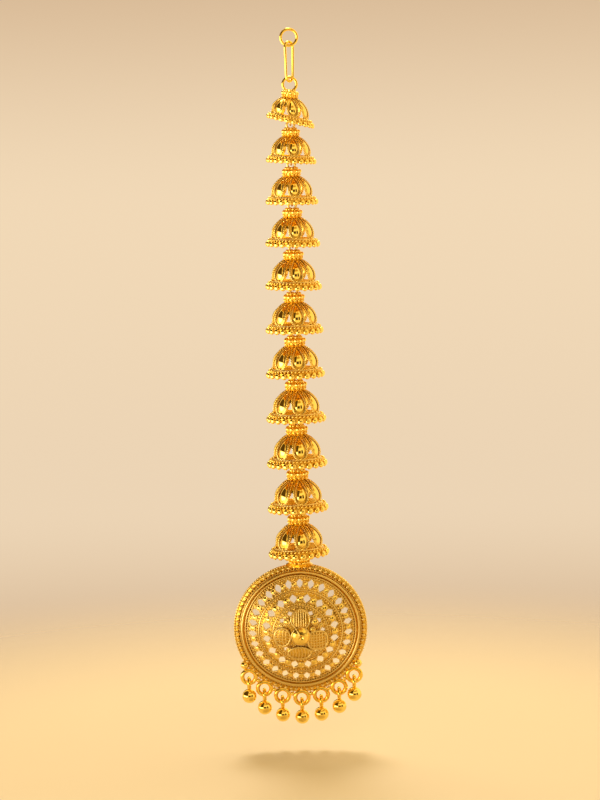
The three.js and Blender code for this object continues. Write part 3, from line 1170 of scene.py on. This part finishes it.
def line(start, end, bow=0.0):
    """Points from start to end, bowed to the side."""
    a, b = Vector(start), Vector(end)
    side = Vector((a.y - b.y, b.x - a.x)).normalized()
    points = []
    steps = 24
    for i in range(steps + 1):
        t = i / steps
        points.append(tuple(a + (b - a) * t + side * bow * 4 * t * (1 - t)))
    return points


def combed(start, end, step, count, bow=0.0):
    """Rows of points side by side, like the teeth of a comb, in millimetres."""
    rows = []
    for i in range(count):
        shift = Vector(step) * i
        rows.append(line((Vector(start) + shift) * MM, (Vector(end) + shift) * MM, bow * MM))
    return rows


def flower_petals(sizes):
    """The four petals, each a plate with an outline and its own ribs, face up."""
    top = spade(3.1 * MM, 2.0 * MM, 0.6 * MM)
    left = oval((-3.9 * MM, -0.7 * MM), 1.7 * MM, 1.95 * MM)
    right = oval((3.6 * MM, -1.5 * MM), 2.05 * MM, 2.0 * MM, squareness=0.12)
    bottom = oval((-0.3 * MM, -4.35 * MM), 2.4 * MM, 1.35 * MM)
    ribs = {
        "top": combed((-1.35, 1.7), (-1.35, 5.2), (0.5, 0), 6),
        "left": combed((-5.6, -1.8), (-2.2, -2.3), (0, 0.62), 6, bow=0.35)
        + combed((-4.9, -2.9), (-4.9, 1.4), (0.7, 0), 4, bow=0.4),
        "right": combed((1.6, -3.2), (5.6, -2.9), (0, 0.6), 6, bow=-0.2)
        + combed((2.2, -3.6), (2.2, 0.6), (0.6, 0), 6),
        "bottom": combed((-2.6, -2.9), (-2.6, -5.9), (0.64, 0), 8, bow=0.3),
    }
    parts = []
    for name, outline in (("top", top), ("left", left), ("right", right), ("bottom", bottom)):
        # The petals' plates are ground gold, darkened with painted shade between the outline and the ribs.
        parts.append(raised_shape(outline, 0.24 * MM, "ground_gold", crown=0.1 * MM))
        edge = [(x, y, 0.34 * MM) for x, y in outline]
        parts.append(drawn_wire(edge, sizes.petal_line, "wire_gold", closed=True))
        parts += ribs_within(outline, ribs[name], 0.36 * MM, sizes)
    return parts


BOSS = {"y": -0.4 * MM, "radius": 1.9 * MM}
BOSS_WALL = in_mm(
    (1.9, 0.2), (1.9, 0.7), (1.68, 1.05), (1.2, 1.35), (0.6, 1.45), (0.3, 1.25), (0.12, 1.0), (0.12, 0.2),
)


def over_boss(points):
    """Lifts points of x and y to just above the boss, or to a petal's edge beside it."""
    lifted = []
    for x, y in points:
        reach = hypot(x, y - BOSS["y"]) / BOSS["radius"]
        lifted.append((x, y, max(0.4, 1.55 - 0.8 * reach * reach) * MM))
    return lifted


def flower_boss():
    """The domed boss with a small pit at its middle, and the petal's neck that curls into it."""
    mound = turned(BOSS_WALL, "dome_gold", segments=48)
    base = ring(BOSS["radius"], 0.34 * MM, "wire_gold", (0, 0, 0.55 * MM), steps=48, sides=8)
    parts = [lay(part, lambda spot: spot + Vector((0, BOSS["y"], 0))) for part in (mound, base)]
    neck = line((-1.45 * MM, 1.9 * MM), (-0.1 * MM, -0.25 * MM), 0.12 * MM)
    turn = line((1.3 * MM, 1.75 * MM), (1.75 * MM, 0.45 * MM), -0.45 * MM)
    swirl = []
    for i in range(30):
        angle = radians(75 - 8 * i)
        swirl.append((1.3 * MM * cos(angle), BOSS["y"] + 1.3 * MM * sin(angle)))
    for path, wire in ((neck, 0.3), (turn, 0.3), (swirl, 0.18)):
        parts.append(drawn_wire(over_boss(path), wire * MM, "wire_gold"))
    return parts


def small_cups():
    """Little bezels in the corners between the petals, face up."""
    parts = []
    for x, y, size in ((-2.9, 2.6, 0.62), (3.1, 2.5, 0.66), (-2.6, -3.6, 0.5), (2.6, 0.95, 0.5)):
        rim = Vector((x, y, 0.25)) * MM
        seat = Vector((x, y, 0.1)) * MM
        parts.append(ring(size * MM, 0.24 * MM, "wire_gold", rim, steps=20, sides=6))
        parts.append(ball(size * MM, "mirror_gold", seat, 14, 8, scale=(1, 1, 0.45)))
    return parts


class TIKKA_OT_flower(bpy.types.Operator):
    """Make the four-petal flower on the dome"""

    bl_idname = "tikka.flower"
    bl_label = "Flower"

    def execute(self, context):
        sizes = context.scene.tikka_medallion
        parts = [*flower_petals(sizes), *flower_boss(), *small_cups()]
        flower = domed(joined("flower_gold", parts))
        lay(flower, lambda spot: spot + Vector((0, 0, FLOWER_LIFT)))
        finished(hung(faced(flower)), "pendant", "filigree_gold", "flower")
        return {"FINISHED"}


# ------------------------------------------------------------------- the drops


DROP_NECK = in_mm(
    (0.45, -0.95), (0.4, -1.15), (0.42, -1.3), (0.62, -1.42), (0.55, -1.6), (0.1, -1.7), (0.1, -0.95),
)


def drop_pattern(sizes):
    """A ball with its eye; the origin is the middle of the wire that it hangs on."""
    eye = ring(sizes.eye, sizes.eye_wire, "hoop_gold", turn=ACROSS_X, steps=32, sides=12)
    stem = turned(DROP_NECK, "wire_gold", segments=20)
    bead = ball(sizes.ball, "mirror_gold", (0, 0, -sizes.fall), 40, 24)
    return joined("drop_pattern", [eye, stem, bead])


class TIKKA_OT_drops(bpy.types.Operator):
    """Hang a ball drop in each loop of the rim"""

    bl_idname = "tikka.drops"
    bl_label = "Ball drops"

    def execute(self, context):
        pattern = drop_pattern(context.scene.tikka_drops)
        place = disc_place()
        for i, spot in enumerate(loop_spots()):
            seat = place @ (spot - Vector((0, 0, LOOP["radius"])))
            drop = lay(twin(pattern), lambda point: point + seat)
            finished(joined(f"drop_{i + 1}_gold", [drop]), "pendant", "ball_gold", f"drop_{i + 1}")
        thrown_away(pattern)
        return {"FINISHED"}


# ------------------------------------------------------------------- the stage

# Soft areas of light and dark round the jewel, as degrees of turn to the right from the
# front and of height, with the colour that is seen there. Later rows cover earlier ones.
STUDIO_COLUMNS = ("turn", "height", "soft", "colour")
STUDIO = {
    "right": ((55, 178), (-35, 60), 20, (1.3, 0.99, 0.54)),
    "front, high": ((-20, 75), (42, 66), 8, (0.6, 0.34, 0.06)),
    "left, high": ((-130, -22), (8, 86), 5, (0.1, 0.055, 0.015)),
    "far left": ((-178, -150), (-12, 40), 8, (0.2, 0.12, 0.03)),
    "front, low": ((-25, 60), (-62, -45), 8, (0.6, 0.38, 0.13)),
    "front": ((-17, 23), (-10, 20), 6, (0.06, 0.035, 0.01)),
    "front right": ((33, 60), (-10, 24), 6, (0.08, 0.045, 0.01)),
}
KEY = {"turn": (-96, -28), "height": (-40, 6), "soft": 6}


def within(tree, value, low, high, soft):
    """One where a value lies between two limits, fading to nothing outside them."""
    sides = []
    for first, last in ((low - soft, low + soft), (high + soft, high - soft)):
        sides.append(share_between(tree, value, first, last, interpolation_type="SMOOTHSTEP"))
    return calculated(tree, "MULTIPLY", *sides)


def soft_area(tree, turn, height, row):
    """One where a direction lies in an area of the studio."""
    across = within(tree, turn, *row["turn"], row["soft"])
    upright = within(tree, height, *row["height"], row["soft"])
    return calculated(tree, "MULTIPLY", across, upright)


def ramp(tree, value, low, high, stops):
    """Colours at heights between low and high."""
    node = tree.nodes.new("ShaderNodeValToRGB")
    node.color_ramp.interpolation = "EASE"
    elements = node.color_ramp.elements
    while len(elements) < len(stops):
        elements.new(0.5)
    for element, (position, there) in zip(elements, stops):
        element.position = (position - low) / (high - low)
        element.color = (*there, 1.0)
    feed(tree, node, {"Fac": share_between(tree, value, low, high)})
    return node.outputs["Color"]


# What the gold reflects from each height, in degrees, before the areas above are laid on.
SURROUND = [
    (-90, (1.3, 0.96, 0.48)), (-30, (1.3, 0.96, 0.48)), (0, (1.18, 0.88, 0.44)), (40, (1.45, 1.1, 0.56)),
    (90, (1.8, 1.35, 0.66)),
]

# The backdrop that is seen behind the jewel, by height in degrees. Its light and shade are painted: a
# darker band at the horizon, brighter above it, darker again higher up.
BACKDROP = [
    (-20, (0.93, 0.76, 0.51)), (-16, (0.93, 0.76, 0.51)), (-12.6, (0.67, 0.47, 0.29)),
    (-9, (0.84, 0.66, 0.46)), (-3, (0.88, 0.69, 0.47)), (4, (0.62, 0.42, 0.25)),
]


def studio_world(look):
    """What the gold reflects, and the pale beige that the camera sees behind it."""
    world = bpy.data.worlds.new("studio")
    bpy.context.scene.world = world
    world.use_nodes = True
    tree = world.node_tree
    place = added(tree, "TexCoord", {})["Generated"]
    along = added(tree, "SeparateXYZ", {0: place})
    forward = calculated(tree, "MULTIPLY", along["Y"], -1.0)
    turn = calculated(tree, "DEGREES", calculated(tree, "ARCTAN2", along["X"], forward))
    height = calculated(tree, "DEGREES", calculated(tree, "ARCSINE", along["Z"]))
    light = ramp(tree, height, -90, 90, SURROUND)
    for values in STUDIO.values():
        row = dict(zip(STUDIO_COLUMNS, values))
        light = mixed(tree, soft_area(tree, turn, height, row), light, row["colour"])
    key = tuple(value * look.key for value in (1.0, 0.9, 0.76))
    light = mixed(tree, soft_area(tree, turn, height, KEY), light, key)
    seen = ramp(tree, height, -20, 4, BACKDROP)
    by_camera = added(tree, "LightPath", {})["Is Camera Ray"]
    feed(tree, tree.nodes["Background"], {"Color": mixed(tree, by_camera, light, seen)})


def floor_material(look):
    """Pale floor that fades out a hand's width from the jewel."""
    material = bpy.data.materials.new("pale_floor")
    material.use_nodes = True
    tree = material.node_tree
    place = added(tree, "TexCoord", {})["Object"]
    flat = added(tree, "VectorMath", {0: place, 1: (1, 1, 0)}, operation="MULTIPLY")["Vector"]
    reach = added(tree, "VectorMath", {0: flat}, operation="LENGTH")["Value"]
    fade = share_between(tree, reach, FLOOR["gone"], FLOOR["solid"], interpolation_type="SMOOTHSTEP")
    inputs = {"Base Color": look.floor, "Roughness": 0.6, "Alpha": fade}
    feed(tree, tree.nodes["Principled BSDF"], inputs)
    return material


def stage_floor(look):
    begin()
    place = (0, 0, FLOOR_Z)
    bpy.ops.mesh.primitive_circle_add(vertices=64, radius=FLOOR["radius"], fill_type="NGON", location=place)
    floor = fresh(floor_material(look).name)
    floor.name = "floor"


def stage_light(look):
    """One soft light behind and above, which lays the shadow towards the front."""
    begin()
    bpy.ops.object.light_add(type="AREA", location=LAMP["place"])
    lamp = bpy.context.object
    lamp.name = "top_light"
    lamp.data.shape = "DISK"
    lamp.data.size = LAMP["size"]
    lamp.data.energy = look.top
    lamp.data.color = LAMP["colour"]
    aim = Vector(LAMP["aim"]) - lamp.location
    lamp.rotation_euler = aim.to_track_quat("-Z", "Y").to_euler()
    lamp.visible_camera = False


def stage_camera(look):
    data = bpy.data.cameras.new("camera")
    data.lens = look.lens
    camera = bpy.data.objects.new("camera", data)
    bpy.context.scene.collection.objects.link(camera)
    down = Matrix.Rotation(radians(90 - CAMERA["down"]), 4, "X")
    roll = Matrix.Rotation(radians(CAMERA["roll"]), 4, "Z")
    camera.matrix_world = Matrix.Translation(CAMERA["place"]) @ down @ roll
    bpy.context.scene.camera = camera


class TIKKA_OT_stage(bpy.types.Operator):
    """Set the pale floor, the studio light and the camera"""

    bl_idname = "tikka.stage"
    bl_label = "Stage"

    def execute(self, context):
        look = context.scene.tikka_stage
        context.scene.view_settings.view_transform = "Standard"
        studio_world(look)
        stage_floor(look)
        stage_light(look)
        stage_camera(look)
        return {"FINISHED"}


# ------------------------------------------------------------------- the panel


class TIKKA_PT_panel(bpy.types.Panel):
    """Buttons for each group of pieces, with their sizes"""

    bl_idname = "TIKKA_PT_panel"
    bl_label = "Maang Tikka"
    bl_space_type = "VIEW_3D"
    bl_region_type = "UI"
    bl_category = "Tikka"

    def draw(self, context):
        for operator in OPERATORS:
            self.layout.operator(operator.bl_idname)
        for name in SETTINGS:
            group = getattr(context.scene, name)
            box = self.layout.box()
            for prop in group.bl_rna.properties:
                if prop.identifier not in {"rna_type", "name"}:
                    box.prop(group, prop.identifier)


SETTINGS = {
    "tikka_wires": WireSizes,
    "tikka_bells": BellSizes,
    "tikka_medallion": MedallionSizes,
    "tikka_drops": DropSizes,
    "tikka_gold": GoldLook,
    "tikka_stage": StageLook,
}

OPERATORS = [
    TIKKA_OT_stage,
    TIKKA_OT_top_wires,
    TIKKA_OT_bells,
    TIKKA_OT_links,
    TIKKA_OT_rim,
    TIKKA_OT_dome,
    TIKKA_OT_flower,
    TIKKA_OT_drops,
]


def register():
    for kind in (*SETTINGS.values(), *OPERATORS, TIKKA_PT_panel):
        bpy.utils.register_class(kind)
    for name, kind in SETTINGS.items():
        setattr(bpy.types.Scene, name, PointerProperty(type=kind))


def unregister():
    for name in SETTINGS:
        delattr(bpy.types.Scene, name)
    for kind in (TIKKA_PT_panel, *reversed(OPERATORS), *reversed(SETTINGS.values())):
        bpy.utils.unregister_class(kind)


def main():
    register()
    for operator in OPERATORS:
        group, name = operator.bl_idname.split(".")
        getattr(getattr(bpy.ops, group), name)()


if __name__ == "__main__":
    main()
